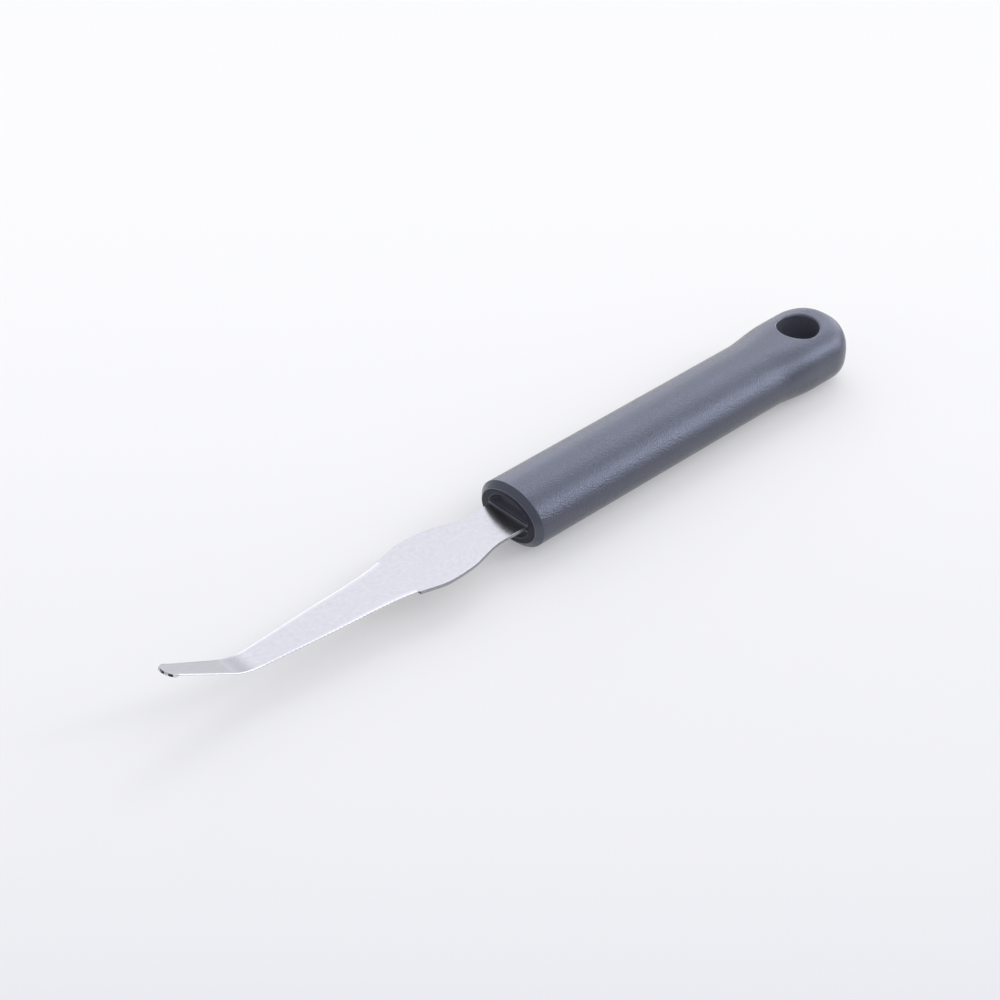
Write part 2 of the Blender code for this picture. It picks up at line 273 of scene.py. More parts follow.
class Finish:
    """The node tree of one material, or of the studio's surroundings."""

    def __init__(self, name, owners="materials"):
        self.owner = getattr(bpy.data, owners).new(name)
        self.owner.use_nodes = True
        self.tree = self.owner.node_tree
        self.tree.nodes.clear()

    def node(self, kind, settings=None, sockets=None, output=0):
        """Add a node: its settings first, then the values or links of its sockets."""
        node = self.tree.nodes.new("ShaderNode" + kind)
        for name, value in (settings or {}).items():
            if name == "stops":
                while len(node.color_ramp.elements) < len(value):
                    node.color_ramp.elements.new(0.5)
                for element, (position, shade) in zip(node.color_ramp.elements, value):
                    element.position = position
                    element.color = (shade, shade, shade, 1.0)
            else:
                setattr(node, name, value)
        for name, value in (sockets or {}).items():
            if isinstance(value, Value):
                self.tree.links.new(value.socket, node.inputs[name])
            else:
                node.inputs[name].default_value = value
        return None if output is None else Value(node.outputs[output])

    def blend(self, mask, first, second):
        """Colour that goes from first to second with the mask."""
        mix = {"data_type": "RGBA"}
        return self.node("Mix", mix, {0: mask, 6: first, 7: second}, output=2)

    def scaled(self, place, scale):
        """Coordinates stretched by a scale of their own along each axis."""
        return self.node("VectorMath", {"operation": "MULTIPLY"}, {0: place, 1: scale})

    def dot(self, place, direction):
        """How far the coordinates lie in a direction."""
        sockets = {0: place, 1: direction}
        return self.node("VectorMath", {"operation": "DOT_PRODUCT"}, sockets, output=1)

    def noise(self, place, scale, detail=2.0, roughness=0.5):
        """Cloudy pattern from 0 to 1."""
        sockets = {"Vector": place, "Scale": scale, "Detail": detail, "Roughness": roughness}
        return self.node("TexNoise", None, sockets)

    def ramp(self, value, low, high):
        """0 below low, 1 above high, and a straight run between."""
        return self.node("MapRange", None, {"Value": value, "From Min": low, "From Max": high})

    def bump(self, strength, depth, height):
        """Normals of a fine relief."""
        return self.node("Bump", None, {"Strength": strength, "Distance": depth, "Height": height})

    def output(self, shader, kind="OutputMaterial"):
        """Wire the shader to the output and return the finished material or world."""
        self.node(kind, None, {"Surface": shader}, output=None)
        return self.owner


def rgb(red, green, blue):
    """Opaque colour."""
    return (red, green, blue, 1.0)


def satin_steel():
    """Fine satin grain along the blade, with faint clouds from rolling and handling."""
    finish = Finish("satin_steel")
    place = finish.node("UVMap")
    streaks = finish.noise(finish.scaled(place, (400.0, 7000.0, 1.0)), 1.0, 3.0)
    grain = finish.noise(place, 3400.0, 2.0)
    clouds = finish.noise(place, 900.0, 3.0)
    tone = finish.ramp(0.3 * streaks + 0.4 * grain + 0.3 * clouds, 0.36, 0.64)
    colour = finish.blend(tone, rgb(0.418, 0.408, 0.414), rgb(0.486, 0.475, 0.480))
    roughness = 0.16 + 0.05 * streaks + 0.03 * clouds
    height = 0.4 * streaks + 0.6 * grain
    bump = finish.bump(0.12, 0.03 * MM, height)
    return finish.output(finish.node("BsdfPrincipled", None, {
        "Base Color": colour, "Metallic": 1.0, "Roughness": roughness, "Normal": bump,
    }))


def ground_steel():
    """Bright bevel with the wheel's fine lines running across the edge."""
    finish = Finish("ground_steel")
    place = finish.node("UVMap")
    lines = finish.noise(finish.scaled(place, (9000.0, 300.0, 1.0)), 1.0, 2.0)
    colour = finish.blend(lines, rgb(0.50, 0.50, 0.515), rgb(0.60, 0.60, 0.61))
    bump = finish.bump(0.25, 0.03 * MM, lines)
    return finish.output(finish.node("BsdfPrincipled", None, {
        "Base Color": colour, "Metallic": 1.0, "Roughness": 0.2 + 0.12 * lines, "Normal": bump,
    }))


def sheared_steel():
    """Stamped edge of the sheet, smooth where it was sheared and duller where it tore."""
    finish = Finish("sheared_steel")
    place = finish.node("UVMap")
    tears = finish.noise(finish.scaled(place, (5200.0, 500.0, 1.0)), 1.0, 3.0)
    colour = finish.blend(tears, rgb(0.22, 0.22, 0.24), rgb(0.50, 0.50, 0.53))
    bump = finish.bump(0.4, 0.05 * MM, tears)
    return finish.output(finish.node("BsdfPrincipled", None, {
        "Base Color": colour, "Metallic": 1.0, "Roughness": 0.3 + 0.15 * tears, "Normal": bump,
    }))


def blunt_steel():
    """Blunt end of the tip and notch of the heel: bright steel with patches of painted dark reflection
    and shade.
    """
    finish = Finish("blunt_steel")
    place = finish.node("UVMap")
    painted_dark_patches = finish.ramp(finish.noise(place, PAINTED_PATCH_SCALE, 1.0), 0.5, 0.56)
    lines = finish.noise(place, 5000.0, 2.0)
    # the near-black patches are painted dark reflection
    colour = finish.blend(painted_dark_patches, rgb(0.04, 0.04, 0.05), rgb(0.66, 0.66, 0.68))
    bump = finish.bump(0.3, 0.05 * MM, lines)
    return finish.output(finish.node("BsdfPrincipled", None, {
        "Base Color": colour, "Metallic": 1.0, "Roughness": 0.25 + 0.15 * lines, "Normal": bump,
    }))


def slate_plastic(name, dark, light, grain_strength):
    """Moulded plastic with a fine spark-eroded grain that glints where light grazes it."""
    finish = Finish(name)
    place = finish.node("TexCoord", output=3)
    pits = finish.node("TexVoronoi", None, {"Vector": place, "Scale": 2600.0})
    grain = finish.noise(place, 3000.0, 3.0, 0.6)
    clouds = finish.noise(place, 160.0, 3.0)
    rubbed = finish.noise(finish.scaled(place, (30.0, 120.0, 120.0)), 1.0, 3.0)
    tone = finish.ramp(0.5 * grain + 0.3 * clouds + 0.2 * pits, 0.3, 0.62)
    colour = finish.blend(tone, dark, light)
    roughness = 0.14 + 0.04 * rubbed + 0.05 * grain
    height = 0.6 * grain + 0.4 * pits
    bump = finish.bump(grain_strength, 0.14 * MM, height)
    return finish.output(finish.node("BsdfPrincipled", None, {
        "Base Color": colour, "Roughness": roughness, "Specular IOR Level": 1.0,
        # the strong blue tint of the reflections is a painted reflection colour, standing in for bluish
        # light from behind
        "Specular Tint": rgb(0.74, 0.80, 1.0), "Normal": bump,
    }))


def holder_plastic(name, dark, light, shine):
    """Darker plastic of the tang holder, nearly smooth, with faint flow marks."""
    finish = Finish(name)
    place = finish.node("TexCoord", output=3)
    grain = finish.noise(place, 5200.0, 2.0)
    flow = finish.noise(finish.scaled(place, (250.0, 600.0, 900.0)), 1.0, 3.0)
    colour = finish.blend(flow, dark, light)
    bump = finish.bump(0.25, 0.05 * MM, grain)
    return finish.output(finish.node("BsdfPrincipled", None, {
        "Base Color": colour, "Roughness": 0.4 + 0.1 * grain, "Specular IOR Level": shine, "Normal": bump,
    }))


# Mesh helpers

def mesh_object(name, mesh, materials, place):
    """Turn a finished bmesh into an object of this knife, shaded smooth."""
    bmesh.ops.recalc_face_normals(mesh, faces=mesh.faces)
    mesh.transform(place)
    data = bpy.data.meshes.new(name)
    mesh.to_mesh(data)
    mesh.free()
    made = bpy.data.objects.new(name, data)
    bpy.context.scene.collection.objects.link(made)
    for material in materials:
        data.materials.append(material)
    data.shade_smooth()
    return made


def weigh_normals(piece, crease=CREASE):
    """Keep crisp edges crisp, and large flat faces flat beside their small rounded edges."""
    piece.data.set_sharp_from_angle(angle=radians(crease))
    step = piece.modifiers.new("weighted normals", "WEIGHTED_NORMAL")
    step.keep_sharp = True
    step.weight = LARGE_FACE_WEIGHT
    return piece


def bridge(mesh, first, second, slot=0):
    """Faces between two rings of equal count."""
    count = len(first)
    made = []
    for i in range(count):
        j = (i + 1) % count
        face = mesh.faces.new((first[i], first[j], second[j], second[i]))
        face.material_index = slot
        made.append(face)
    return made


def ring_of(mesh, points):
    """New vertices at the points, in their order."""
    return [mesh.verts.new(point) for point in points]


def loop_edges(ring):
    """Edges between the neighbours of a closed ring."""
    edges = []
    for first, second in zip(ring, ring[1:] + ring[:1]):
        edges.append(next(edge for edge in first.link_edges if edge.other_vert(first) is second))
    return edges


def spread(start, end, steps):
    """Evenly spaced values after start, up to end."""
    return [start + (end - start) * i / steps for i in range(1, steps + 1)]


def ease(start, end, at):
    """0 before start, 1 after end, with a smooth step between."""
    t = min(max((at - start) / (end - start), 0.0), 1.0)
    return t * t * (3.0 - 2.0 * t)


def bend_points(first, corner, last, steps):
    """Points of a soft corner between two lines."""
    points = []
    for i in range(steps + 1):
        t = i / steps
        weights = ((1 - t) ** 2, 2 * t * (1 - t), t * t)
        weighed = list(zip(weights, (first, corner, last)))
        points.append(tuple(sum(w * p[k] for w, p in weighed) for k in (0, 1)))
    return points


# Handle shell

def section(x):
    """Half width, half height and squareness of the handle at x."""
    flare = ease(FLARE_START, FLARE_END, x)
    end = max(x - (HANDLE_LENGTH - END_ROUNDING), 0.0) / END_ROUNDING
    plan = max(1.0 - end ** END_POWER_PLAN, 0.0) ** (1.0 / END_POWER_PLAN)
    side = max(1.0 - end ** END_POWER_SIDE, 0.0) ** (1.0 / END_POWER_SIDE)
    half_width = (HALF_WIDTH + (EYE_HALF_WIDTH - HALF_WIDTH) * flare) * plan
    squareness = BODY_SQUARENESS + (EYE_SQUARENESS - BODY_SQUARENESS) * flare
    return half_width, HALF_HEIGHT * side, squareness


def oval_points(x, inset):
    """Points round the handle at x, moved in by the inset."""
    half_width, half_height, power = section(x)
    points = []
    for j in range(AROUND):
        angle = 2.0 * pi * j / AROUND
        side, up = cos(angle), sin(angle)
        reach = (abs(side) ** power + abs(up) ** power) ** (-1.0 / power)
        points.append((x, (half_width - inset) * side * reach, (half_height - inset) * up * reach))
    return points


def skin_height(x, y):
    """Height of the handle's upper skin over its axis."""
    half_width, half_height, power = section(x)
    return half_height * max(1.0 - abs(y / half_width) ** power, 0.0) ** (1.0 / power)


def eye_opening(mesh, rows, window_rows, middle, side):
    """Skin between one window and the hang hole, with its rounded mouth; returns the ring at the bore."""
    first_row, last_row = window_rows
    near, far = middle - WINDOW_POINTS, middle + WINDOW_POINTS
    loop = [rows[i][near] for i in range(first_row, last_row)]
    loop += [rows[last_row][j] for j in range(near, far)]
    loop += [rows[i][far] for i in range(last_row, first_row, -1)]
    loop += [rows[first_row][j] for j in range(far, near, -1)]
    previous = loop
    for level in range(1, EYE_STEPS + MOUTH_STEPS + 1):
        ring = []
        for vertex in loop:
            away = Vector((vertex.co.x - HOLE_X, vertex.co.y))
            outward = away.normalized()
            radius, drop = HOLE_RADIUS + MOUTH_ROUNDING, 0.0
            if level <= EYE_STEPS:
                radius = away.length + (radius - away.length) * level / EYE_STEPS
            else:
                turn = pi / 2 * (level - EYE_STEPS) / MOUTH_STEPS
                radius -= MOUTH_ROUNDING * sin(turn)
                drop = MOUTH_ROUNDING * (1.0 - cos(turn))
            x, y = HOLE_X + outward.x * radius, outward.y * radius
            ring.append(mesh.verts.new((x, y, side * (skin_height(x, y) - drop))))
        # rows of the mouth past the plain ones take the lighter slate, a painted highlight
        plain = level <= EYE_STEPS + PLAIN_MOUTH_STEPS
        bridge(mesh, previous, ring, SLATE if plain else PAINTED_LIGHT_SLATE)
        previous = ring
    return previous


def bore(mesh, upper, lower):
    """Wall of the hang hole between the rings at its two mouths, in the lighter slate that carries
    painted light.
    """
    feet = [min(lower, key=lambda foot: (foot.co.xy - vertex.co.xy).length) for vertex in upper]
    previous = upper
    for level in range(1, BORE_STEPS):
        share = level / BORE_STEPS
        radius = HOLE_RADIUS - BORE_DRAFT * (1.0 - abs(2.0 * share - 1.0))
        ring = []
        for vertex, foot in zip(upper, feet):
            angle = atan2(vertex.co.y, vertex.co.x - HOLE_X)
            z = vertex.co.z + (foot.co.z - vertex.co.z) * share
            ring.append(mesh.verts.new((HOLE_X + radius * cos(angle), radius * sin(angle), z)))
        bridge(mesh, previous, ring, PAINTED_LIGHT_SLATE)
        previous = ring
    bridge(mesh, previous, feet, PAINTED_LIGHT_SLATE)


def handle_shell(materials):
    """Hollow body with a chamfered front edge and a rounded end with a soft-edged hang hole."""
    mesh = bmesh.new()
    soft = EDGE_SOFTNESS
    slope = hypot(CHAMFER_DEPTH, CHAMFER_INSET)
    along, inward = CHAMFER_DEPTH / slope * soft, CHAMFER_INSET / slope * soft
    wall = CHAMFER_INSET + FRONT_LAND

    # Depth and inset of each ring, from the floor of the hollow over the front edge to the far end
    profile = [(HOLLOW_DEPTH, wall), (MOUTH_ROW, wall)]
    # rings of the front land and its two edges take the lighter slate, a painted highlight along the rim
    painted_light_start = len(profile)
    profile += bend_points((soft, wall), (0.0, wall), (0.0, wall - soft), EDGE_STEPS)
    profile += bend_points(
        (0.0, CHAMFER_INSET + soft), (0.0, CHAMFER_INSET), (along, CHAMFER_INSET - inward), EDGE_STEPS)
    painted_light_end = len(profile) - 1
    profile += bend_points(
        (CHAMFER_DEPTH - along, inward), (CHAMFER_DEPTH, 0.0), (CHAMFER_DEPTH + soft, 0.0), EDGE_STEPS)
    window_start, window_end = HOLE_X - WINDOW_REACH, HOLE_X + WINDOW_REACH
    skin = spread(CHAMFER_DEPTH + soft, FLARE_START, BODY_STEPS)
    skin += spread(FLARE_START, window_start, FLARE_STEPS)
    first_row = len(profile) + len(skin) - 1
    skin += spread(window_start, window_end, WINDOW_STEPS)
    last_row = first_row + WINDOW_STEPS
    end_start = HANDLE_LENGTH - END_ROUNDING
    first_turn = asin((window_end - end_start) / END_ROUNDING)
    skin += [end_start + END_ROUNDING * sin(turn) for turn in spread(first_turn, pi / 2, END_STEPS)[:-1]]
    profile += [(x, 0.0) for x in skin]
    rows = [ring_of(mesh, oval_points(x, inset)) for x, inset in profile]

    top, bottom = AROUND // 4, 3 * AROUND // 4
    over_hole = {middle + j for middle in (top, bottom) for j in range(-WINDOW_POINTS, WINDOW_POINTS)}
    for i, (first, second) in enumerate(zip(rows, rows[1:])):
        for j in range(AROUND):
            if first_row <= i < last_row and j in over_hole:
                continue
            k = (j + 1) % AROUND
            face = mesh.faces.new((first[j], first[k], second[k], second[j]))
            face.material_index = PAINTED_LIGHT_SLATE if painted_light_start <= i < painted_light_end else SLATE
    end = mesh.verts.new((HANDLE_LENGTH, 0.0, 0.0))
    hollow_floor = mesh.verts.new((HOLLOW_DEPTH, 0.0, 0.0))
    for ring, point in ((rows[-1], end), (rows[0], hollow_floor)):
        for j in range(AROUND):
            mesh.faces.new((ring[j], ring[(j + 1) % AROUND], point))

    upper = eye_opening(mesh, rows, (first_row, last_row), top, 1.0)
    lower = eye_opening(mesh, rows, (first_row, last_row), bottom, -1.0)
    bore(mesh, upper, lower)
    return weigh_normals(mesh_object("handle_body", mesh, materials, HANDLE_PLACE))


# Blade

def strip_point(along, across, up):
    """Point on the bent strip, in the blade's own frame."""
    if along <= FLAT_LENGTH:
        return -along, across, up
    turn = min((along - FLAT_LENGTH) / BEND_RADIUS, BEND_ANGLE)
    straight = max(along - FLAT_LENGTH - BEND_LENGTH, 0.0)
    radius = BEND_RADIUS - up
    x = -FLAT_LENGTH - radius * sin(turn) - straight * cos(turn)
    return x, across, BEND_RADIUS - radius * cos(turn) + straight * sin(turn)


def outline_half_width(along):
    """Half width of the blade outside the handle, a smooth line through its outline."""
    knots = [(at * MM, width * MM) for at, width in OUTLINE]
    steps = [(b[1] - a[1]) / (b[0] - a[0]) for a, b in zip(knots, knots[1:])]
    slopes = [0.0]
    for before, after in zip(steps, steps[1:]):
        slopes.append((before + after) / 2 if before * after > 0.0 else 0.0)
    slopes.append(steps[-1])
    i = 0
    while i < len(knots) - 2 and along > knots[i + 1][0]:
        i += 1
    (start, first), (end, last) = knots[i], knots[i + 1]
    span = end - start
    t = min(max((along - start) / span, 0.0), 1.0)
    width = (
        first * (2 * t ** 3 - 3 * t ** 2 + 1)
        + slopes[i] * span * (t ** 3 - 2 * t ** 2 + t)
        + last * (3 * t ** 2 - 2 * t ** 3)
        + slopes[i + 1] * span * (t ** 3 - t ** 2)
    )
    return width / 2


def half_section(half_width, top, underside, ground):
    """One side of the strip's section, from the middle of its top round to that of its underside."""
    burr = min(BURR, half_width / 3)
    bevel = min(burr + (GRIND_WIDTH - burr) * ground, half_width * GRIND_SHARE)
    shoulder = burr + (TOP_BEVEL - burr) * ground
    drop = burr + (TOP_BEVEL_DROP - burr) * ground
    edge = (underside + burr) + (top - drop - EDGE_THICKNESS / 2 - underside - burr) * ground
    points = [(half_width * share, top) for share in (0.0, 0.25, 0.5, 0.75)]
    rounded = (half_width - shoulder * BURR_PULL * (1.0 - ground), top - drop * BEVEL_PULL * ground)
    points += bend_points((half_width - shoulder, top), rounded, (half_width, top - drop), 3)
    points += [(half_width, edge + (top - drop - edge) / 2), (half_width, edge)]
    for share in (1 / 3, 2 / 3, 1.0):
        points.append((half_width - bevel * share, edge + (underside - edge) * share))
    points += [((half_width - bevel) * share, underside) for share in (0.66, 0.33, 0.0)]
    return points


def tang_end(fit):
    """Distances along and half widths of the tang's rounded end, grown by the fit."""
    points = []
    for i in range(TANG_CORNER_STEPS + 1):
        angle = pi / 2 * i / TANG_CORNER_STEPS
        along = -TANG_LENGTH - fit + TANG_CORNER * (1 - cos(angle))
        points.append((along, TANG_HALF_WIDTH + fit - TANG_CORNER * (1 - sin(angle))))
    return points


def blade_stations():
    """Distance along the strip, half width and grind at each station from the tang's end to the tip."""
    stations = [(along, half_width, 0.0) for along, half_width in tang_end(0.0)]
    stations.append((-SHOULDER_DEPTH - SHOULDER_RAMP, TANG_HALF_WIDTH, 0.0))
    stations.append((-SHOULDER_DEPTH, outline_half_width(0.0), 0.0))
    for i in range(BELLY_STEPS):
        along = HEEL_AT * i / BELLY_STEPS
        stations.append((along, outline_half_width(along), 0.0))
    count = int((GRIND_END - HEEL_AT) / (SERRATION_PITCH / SERRATION_STEPS))
    for i in range(count + 1):
        along = HEEL_AT + (GRIND_END - HEEL_AT) * i / count
        inward = min((along - HEEL_AT) / HEEL_RAMP, (GRIND_END - along) / TIP_RAMP, 1.0)
        ground = sqrt(max(1.0 - (1.0 - inward) ** 2, 0.0))
        scallop = abs(cos(pi * along / SERRATION_PITCH)) ** SERRATION_POWER
        heel = min((along - HEEL_AT) / HEEL_RAMP, 1.0)
        cut_in = HEEL_STEP * heel * (1.0 - ease(HEEL_AT, GRIND_END, along))
        half_width = outline_half_width(along) - cut_in - SERRATION_DEPTH * scallop * ground
        stations.append((along, half_width, ground))
    last = outline_half_width(GRIND_END)
    for i in range(1, TIP_STEPS + 1):
        angle = pi / 2 * i / (TIP_STEPS + TIP_SHORTFALL)
        stations.append((GRIND_END + TIP_END * sin(angle), last * cos(angle), 0.0))
    return stations


def blade_row(mesh, along, half_width, ground):
    """Corners round the strip at one station, each with how far it has travelled round."""
    thinning = max(along - FLAT_LENGTH - BEND_LENGTH, 0.0) / TIP_LENGTH
    underside = -SHEET / 2 + (SHEET - TIP_SHEET) * thinning
    side = half_section(half_width, SHEET / 2, underside, ground)
    outline = side + [(-across, up) for across, up in reversed(side[1:-1])]
    travelled = 0.0
    row = []
    for k, (across, up) in enumerate(outline):
        if k:
            travelled += hypot(across - outline[k - 1][0], up - outline[k - 1][1])
        row.append(Corner(mesh.verts.new(strip_point(along, across, up)), along, travelled, ground))
    return row


def steel_at(place, along, ground):
    """Finish of one of the strip's faces, by its place in the section and its distance along."""
    if place in EDGE_FACES:
        if along >= GRIND_END or HEEL_AT <= along < HEEL_AT + HEEL_RAMP:
            return BLUNT
        return GROUND if along > HEEL_AT else SHEARED
    if ground and (place in TOP_BEVEL_FACES or place in GRIND_FACES):
        return GROUND
    return SATIN


def blade(materials):
    """Stamped strip: tang, neck, belly, ground and serrated taper, and the thinned tip bent up."""
    mesh = bmesh.new()
    grain = mesh.loops.layers.uv.new("grain")
    rows = [blade_row(mesh, *station) for station in blade_stations()]
    count = len(rows[0])
    seam = rows[-1][-1].travelled  # where the grain ends round the strip, the same all along
    for first, second in zip(rows, rows[1:]):
        ground = max(first[0].ground, second[0].ground) > 0.0
        for i in range(count):
            j = (i + 1) % count
            corners = (first[i], first[j], second[j], second[i])
            face = mesh.faces.new([corner.vertex for corner in corners])
            face.material_index = steel_at(min(i, count - 1 - i), first[0].along, ground)
            for loop, corner in zip(face.loops, corners):
                closing = i == count - 1 and corner in (first[j], second[j])
                loop[grain].uv = (corner.along, seam if closing else corner.travelled)
    for row in (rows[0], rows[-1]):
        face = mesh.faces.new([corner.vertex for corner in row])
        face.material_index = SHEARED
    strip = mesh_object("blade_strip", mesh, materials, BLADE_PLACE)
    for depth in TANG_HOLES_AT:
        cut(strip, pin(depth, TANG_HOLE_RADIUS, SHEET), "DIFFERENCE")
    apply_steps(strip)
    return weigh_normals(strip)


def pin(x, radius, half_height):
    """Upright pin in the blade's frame."""
    mesh = bmesh.new()
    bmesh.ops.create_cone(
        mesh, cap_ends=True, segments=PIN_POINTS, radius1=radius, radius2=radius, depth=2 * half_height,
        matrix=Matrix.Translation((x, 0.0, 0.0)))
    return mesh_object("pin", mesh, [], BLADE_PLACE)


def cut(target, tool, operation):
    """Cut the tool from the target, or join it."""
    step = target.modifiers.new("cut", "BOOLEAN")
    step.operation = operation
    step.object = tool
    step.solver = "EXACT"


def apply_steps(piece):
    """Make the modifiers' result the piece's own mesh and delete their tools."""
    tools = [step.object for step in piece.modifiers if step.type == "BOOLEAN"]
    graph = bpy.context.evaluated_depsgraph_get()
    result = bpy.data.meshes.new_from_object(piece.evaluated_get(graph))
    piece.modifiers.clear()
    piece.data = result
    for tool in tools:
        bpy.data.objects.remove(tool, do_unlink=True)


# Tang holder

def ellipse_points(x, inset):
    """Points round the holder at x, moved in by the inset from where it meets the shell."""
    rim = CHAMFER_INSET + FRONT_LAND + SEAM + inset
    points = []
    for j in range(AROUND):
        angle = 2.0 * pi * j / AROUND
        points.append((x, (HALF_WIDTH - rim) * cos(angle), (HALF_HEIGHT - rim) * sin(angle)))
    return points


def pocket_points(x, shrink, side):
    """Half-moon outline over the blade (side 1) or under it (side -1), shrunk all round."""
    half_width, half_height = POCKET_HALF_WIDTH - shrink, POCKET_HALF_HEIGHT - shrink
    flat = POCKET_MIDDLE - (SHEET / 2 + WEB) - shrink * POCKET_FLAT_SHARE
    power = POCKET_CORNER_POWER
    points = []
    for j in range(POCKET_POINTS):
        angle = 2.0 * pi * j / POCKET_POINTS
        across, up = cos(angle), sin(angle)
        a = (across / half_width) ** 2 + (up / half_height) ** 2
        b = 2.0 * POCKET_MIDDLE * up / half_height ** 2
        c = (POCKET_MIDDLE / half_height) ** 2 - 1.0
        arc = (-b + sqrt(b * b - 4.0 * a * c)) / (2.0 * a)
        line = flat / max(-up, 1e-6)  # far away where the ray doesn't meet the flat side
        reach = (arc ** -power + line ** -power) ** (-1 / power)
        points.append((x, reach * across, side * (POCKET_MIDDLE + reach * up)))
    return points


def pocket(mesh, side):
    """Walls and floor of one pocket; returns the loop of its mouth."""
    soft = POCKET_SOFTNESS
    profile = bend_points((0.0, -soft), (0.0, 0.0), (soft, 0.0), POCKET_EDGE_STEPS)
    for turn in spread(0.0, pi / 2, POCKET_STEPS):
        profile.append((soft + (POCKET_DEPTH - soft) * sin(turn), POCKET_HOLLOW * (1.0 - cos(turn))))
    rows = [ring_of(mesh, pocket_points(x, shrink, side)) for x, shrink in profile]
    for first, second in zip(rows, rows[1:]):
        # pocket walls take the lighter pocket finish, painted light in the recess
        bridge(mesh, first, second, POCKET)
    mesh.faces.new(rows[-1]).material_index = POCKET
    return rows[0]


def bar(x_start, x_end, half_width, half_height, soft):
    """Block along the handle with soft edges."""
    mesh = bmesh.new()
    bmesh.ops.create_cube(mesh, size=1.0)
    size = Matrix.Diagonal((x_end - x_start, 2 * half_width, 2 * half_height, 1.0))
    mesh.transform(Matrix.Translation(((x_start + x_end) / 2, 0.0, 0.0)) @ size)
    bmesh.ops.bevel(mesh, geom=mesh.edges[:], offset=soft, segments=2, affect="EDGES", profile=0.5)
    return mesh_object("bar", mesh, [], HANDLE_PLACE)


def tang_slot():
    """Space that the tang takes up in its holder."""
    mesh = bmesh.new()
    half_sheet = SHEET / 2 + FIT
    neck = outline_half_width(0.0) + FIT
    outline = [
        (OVERLAP, neck), (-SHOULDER_DEPTH - FIT, neck),
        (-SHOULDER_DEPTH - SHOULDER_RAMP - FIT, TANG_HALF_WIDTH + FIT),
    ]
    outline += reversed(tang_end(FIT))
    rows = []
    for along, half_width in outline:
        corners = ((half_width, half_sheet), (-half_width, half_sheet),
                   (-half_width, -half_sheet), (half_width, -half_sheet))
        rows.append(ring_of(mesh, [(-along, across, up) for across, up in corners]))
    for first, second in zip(rows, rows[1:]):
        bridge(mesh, first, second)
    mesh.faces.new(rows[0])
    mesh.faces.new(rows[-1])
    return mesh_object("slot", mesh, [], BLADE_PLACE)


def rib(x):
    """Cross rib that bears on the inside of the shell."""
    mesh = bmesh.new()
    rows = [ring_of(mesh, ellipse_points(at, 0.0)) for at in (x, x + RIB_THICKNESS)]
    bridge(mesh, rows[0], rows[1])
    for ring in rows:
        mesh.faces.new(ring)
    return mesh_object("rib", mesh, [], HANDLE_PLACE)


def web_lip(side):
    """Thin web beside the blade, with a rounded front edge that stands a little proud."""
    mesh = bmesh.new()
    low, high = SHEET / 2 + FIT, SHEET / 2 + WEB
    soft = LIP_SOFTNESS
    outline = [(POCKET_DEPTH + OVERLAP, high)]
    outline += bend_points(
        (soft - LIP_REACH, high), (-LIP_REACH, high), (-LIP_REACH, high - soft), EDGE_STEPS)
    outline += [(-LIP_REACH, low), (POCKET_DEPTH + OVERLAP, low)]
    rows = []
    for across in (-LIP_HALF_WIDTH, LIP_HALF_WIDTH):
        rows.append(ring_of(mesh, [(x, across, side * up) for x, up in outline]))
    for face in bridge(mesh, rows[0], rows[1]):
        # front faces of the web take the lighter holder finish, a painted highlight along the lip
        if max(vertex.co.x for vertex in face.verts) < LIP_FRONT:
            face.material_index = PAINTED_LIGHT_HOLDER
    for row in rows:
        mesh.faces.new(row)
    return mesh_object("lip", mesh, [], HANDLE_PLACE)


def tang_holder(materials):
    """Flange with two half-moon pockets, and behind it the spine, ribs and pegs that hold the tang."""
    mesh = bmesh.new()
    soft = EDGE_SOFTNESS
    profile = [(FLANGE_LENGTH, 0.0), (FACE_ROW, 0.0)]
    profile += bend_points((soft, 0.0), (0.0, 0.0), (0.0, soft), EDGE_STEPS)
    rows = [ring_of(mesh, ellipse_points(x, inset)) for x, inset in profile]
    for first, second in zip(rows, rows[1:]):
        bridge(mesh, first, second, HOLDER)
    mesh.faces.new(rows[0])
    edges = loop_edges(rows[-1])
    for side in (1.0, -1.0):
        edges += loop_edges(pocket(mesh, side))
    bmesh.ops.triangle_fill(mesh, use_beauty=True, edges=edges)
    holder = mesh_object("tang_holder", mesh, materials, HANDLE_PLACE)
    for side in (1.0, -1.0):
        cut(holder, web_lip(side), "UNION")
    spine = bar(
        FLANGE_LENGTH - OVERLAP, HOLDER_LENGTH, SPINE_HALF_WIDTH, SPINE_HALF_HEIGHT, SPINE_SOFTNESS)
    cut(holder, spine, "UNION")
    for x in spread(FLANGE_LENGTH, HOLDER_LENGTH, RIBS + 1)[:-1]:
        cut(holder, rib(x), "UNION")
    cut(holder, tang_slot(), "DIFFERENCE")
    for depth in TANG_HOLES_AT:
        cut(holder, pin(depth, PEG_RADIUS, SPINE_HALF_HEIGHT - PEG_SINK), "UNION")
    apply_steps(holder)
    return weigh_normals(holder, HOLDER_CREASE)


# Studio

def floor(near, far, glow):
    """Pale floor with painted light falloff, brighter towards the back, that glows a little so that its
    shadows stay light.
    """
    mesh = bmesh.new()
    bmesh.ops.create_grid(mesh, x_segments=1, y_segments=1, size=FLOOR_REACH)
    finish = Finish("pale_floor")
    run = finish.dot(finish.node("TexCoord", output=3), FLOOR_RUN) + FLOOR_RUN_START
    # near and far colours blend by position: painted light falloff across the floor
    colour = finish.blend(finish.node("ValToRGB", {"stops": FLOOR_STOPS}, {"Fac": run}), near, far)
    lit = finish.node("BsdfDiffuse", None, {"Color": colour})
    own = finish.node("Emission", None, {"Color": glow, "Strength": 1.0})
    material = finish.output(finish.node("AddShader", None, {0: lit, 1: own}))
    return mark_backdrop(mesh_object("floor", mesh, [material], Matrix()))


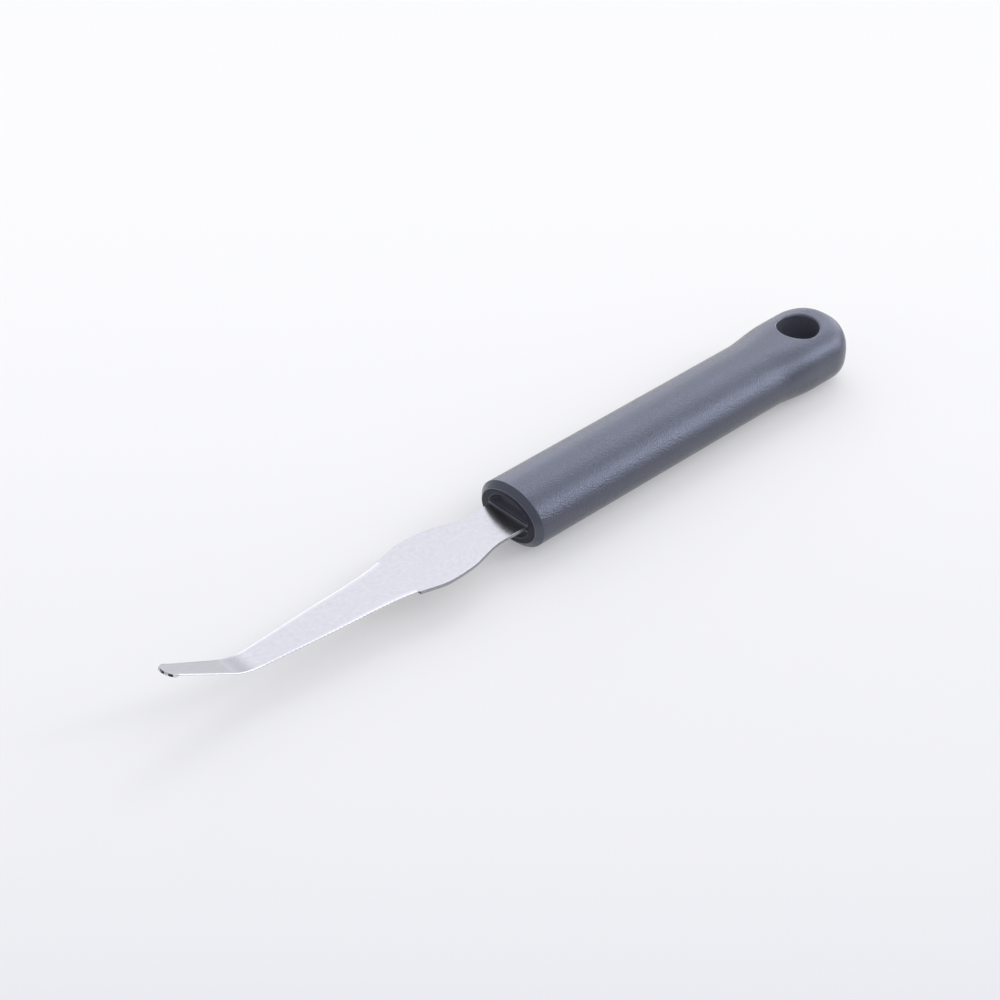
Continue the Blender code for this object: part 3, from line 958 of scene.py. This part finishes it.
def surroundings(white, level, patches):
    """Soft studio light: patches by azimuth and height in degrees, the sharper the smaller."""
    finish = Finish("studio", "worlds")
    bpy.context.scene.world = finish.owner
    direction = finish.node("TexCoord", output=0)
    strength = level
    for azimuth, height, sharpness, brightness in patches:
        flat = cos(radians(height))
        towards = (flat * cos(radians(azimuth)), flat * sin(radians(azimuth)), sin(radians(height)))
        facing = finish.dot(direction, towards)
        strength = strength + (0.5 * facing + 0.5) ** sharpness * brightness
    light = finish.node("Background", None, {"Color": white, "Strength": strength})
    finish.output(light, "OutputWorld")


def camera(place, target):
    """Camera at the place, looking at the target."""
    made = bpy.data.objects.new("camera", bpy.data.cameras.new("camera"))
    made.data.lens = LENS
    made.data.sensor_width = SENSOR
    made.data.clip_start = 0.01
    made.data.clip_end = 20.0
    made.location = place
    made.rotation_euler = (Vector(target) - Vector(place)).to_track_quat("-Z", "Y").to_euler()
    bpy.context.scene.collection.objects.link(made)
    bpy.context.scene.camera = made


def dress(piece, node):
    """Fix a piece to the root, in place of one solid, and hide that solid."""
    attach(piece, "root")
    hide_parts(node)


camera(CAMERA_PLACE, CAMERA_TARGET)
slate_finishes = [
    slate_plastic("slate_plastic", rgb(0.040, 0.041, 0.049), rgb(0.052, 0.053, 0.064), 0.9),
    # lighter copy of the slate with painted light, for the front rim edge and the hang hole
    slate_plastic("painted_light_slate_plastic", rgb(0.080, 0.082, 0.100), rgb(0.115, 0.117, 0.135), 0.2),
]
dress(handle_shell(slate_finishes), "handle_shell")
holder_finishes = [
    holder_plastic("holder_plastic", rgb(0.017, 0.018, 0.028), rgb(0.028, 0.030, 0.045), 0.3),
    # lighter copy of the holder plastic, a painted highlight for the front of the lip
    holder_plastic("painted_light_holder_plastic", rgb(0.12, 0.122, 0.15), rgb(0.16, 0.162, 0.19), 0.5),
    # lighter copy of the holder plastic, with painted light on the walls of the pockets
    holder_plastic("painted_light_pocket_plastic", rgb(0.100, 0.102, 0.125), rgb(0.130, 0.132, 0.155), 0.5),
]
dress(tang_holder(holder_finishes), "front_plug")
steel_finishes = [satin_steel(), ground_steel(), sheared_steel(), blunt_steel()]
dress(blade(steel_finishes), "blade")

floor(rgb(0.466, 0.460, 0.447), rgb(0.610, 0.598, 0.552), rgb(0.268, 0.268, 0.280))
surroundings(rgb(0.96, 0.98, 1.08), STUDIO_LEVEL, STUDIO_PATCHES)
bpy.context.scene.view_settings.view_transform = "Standard"
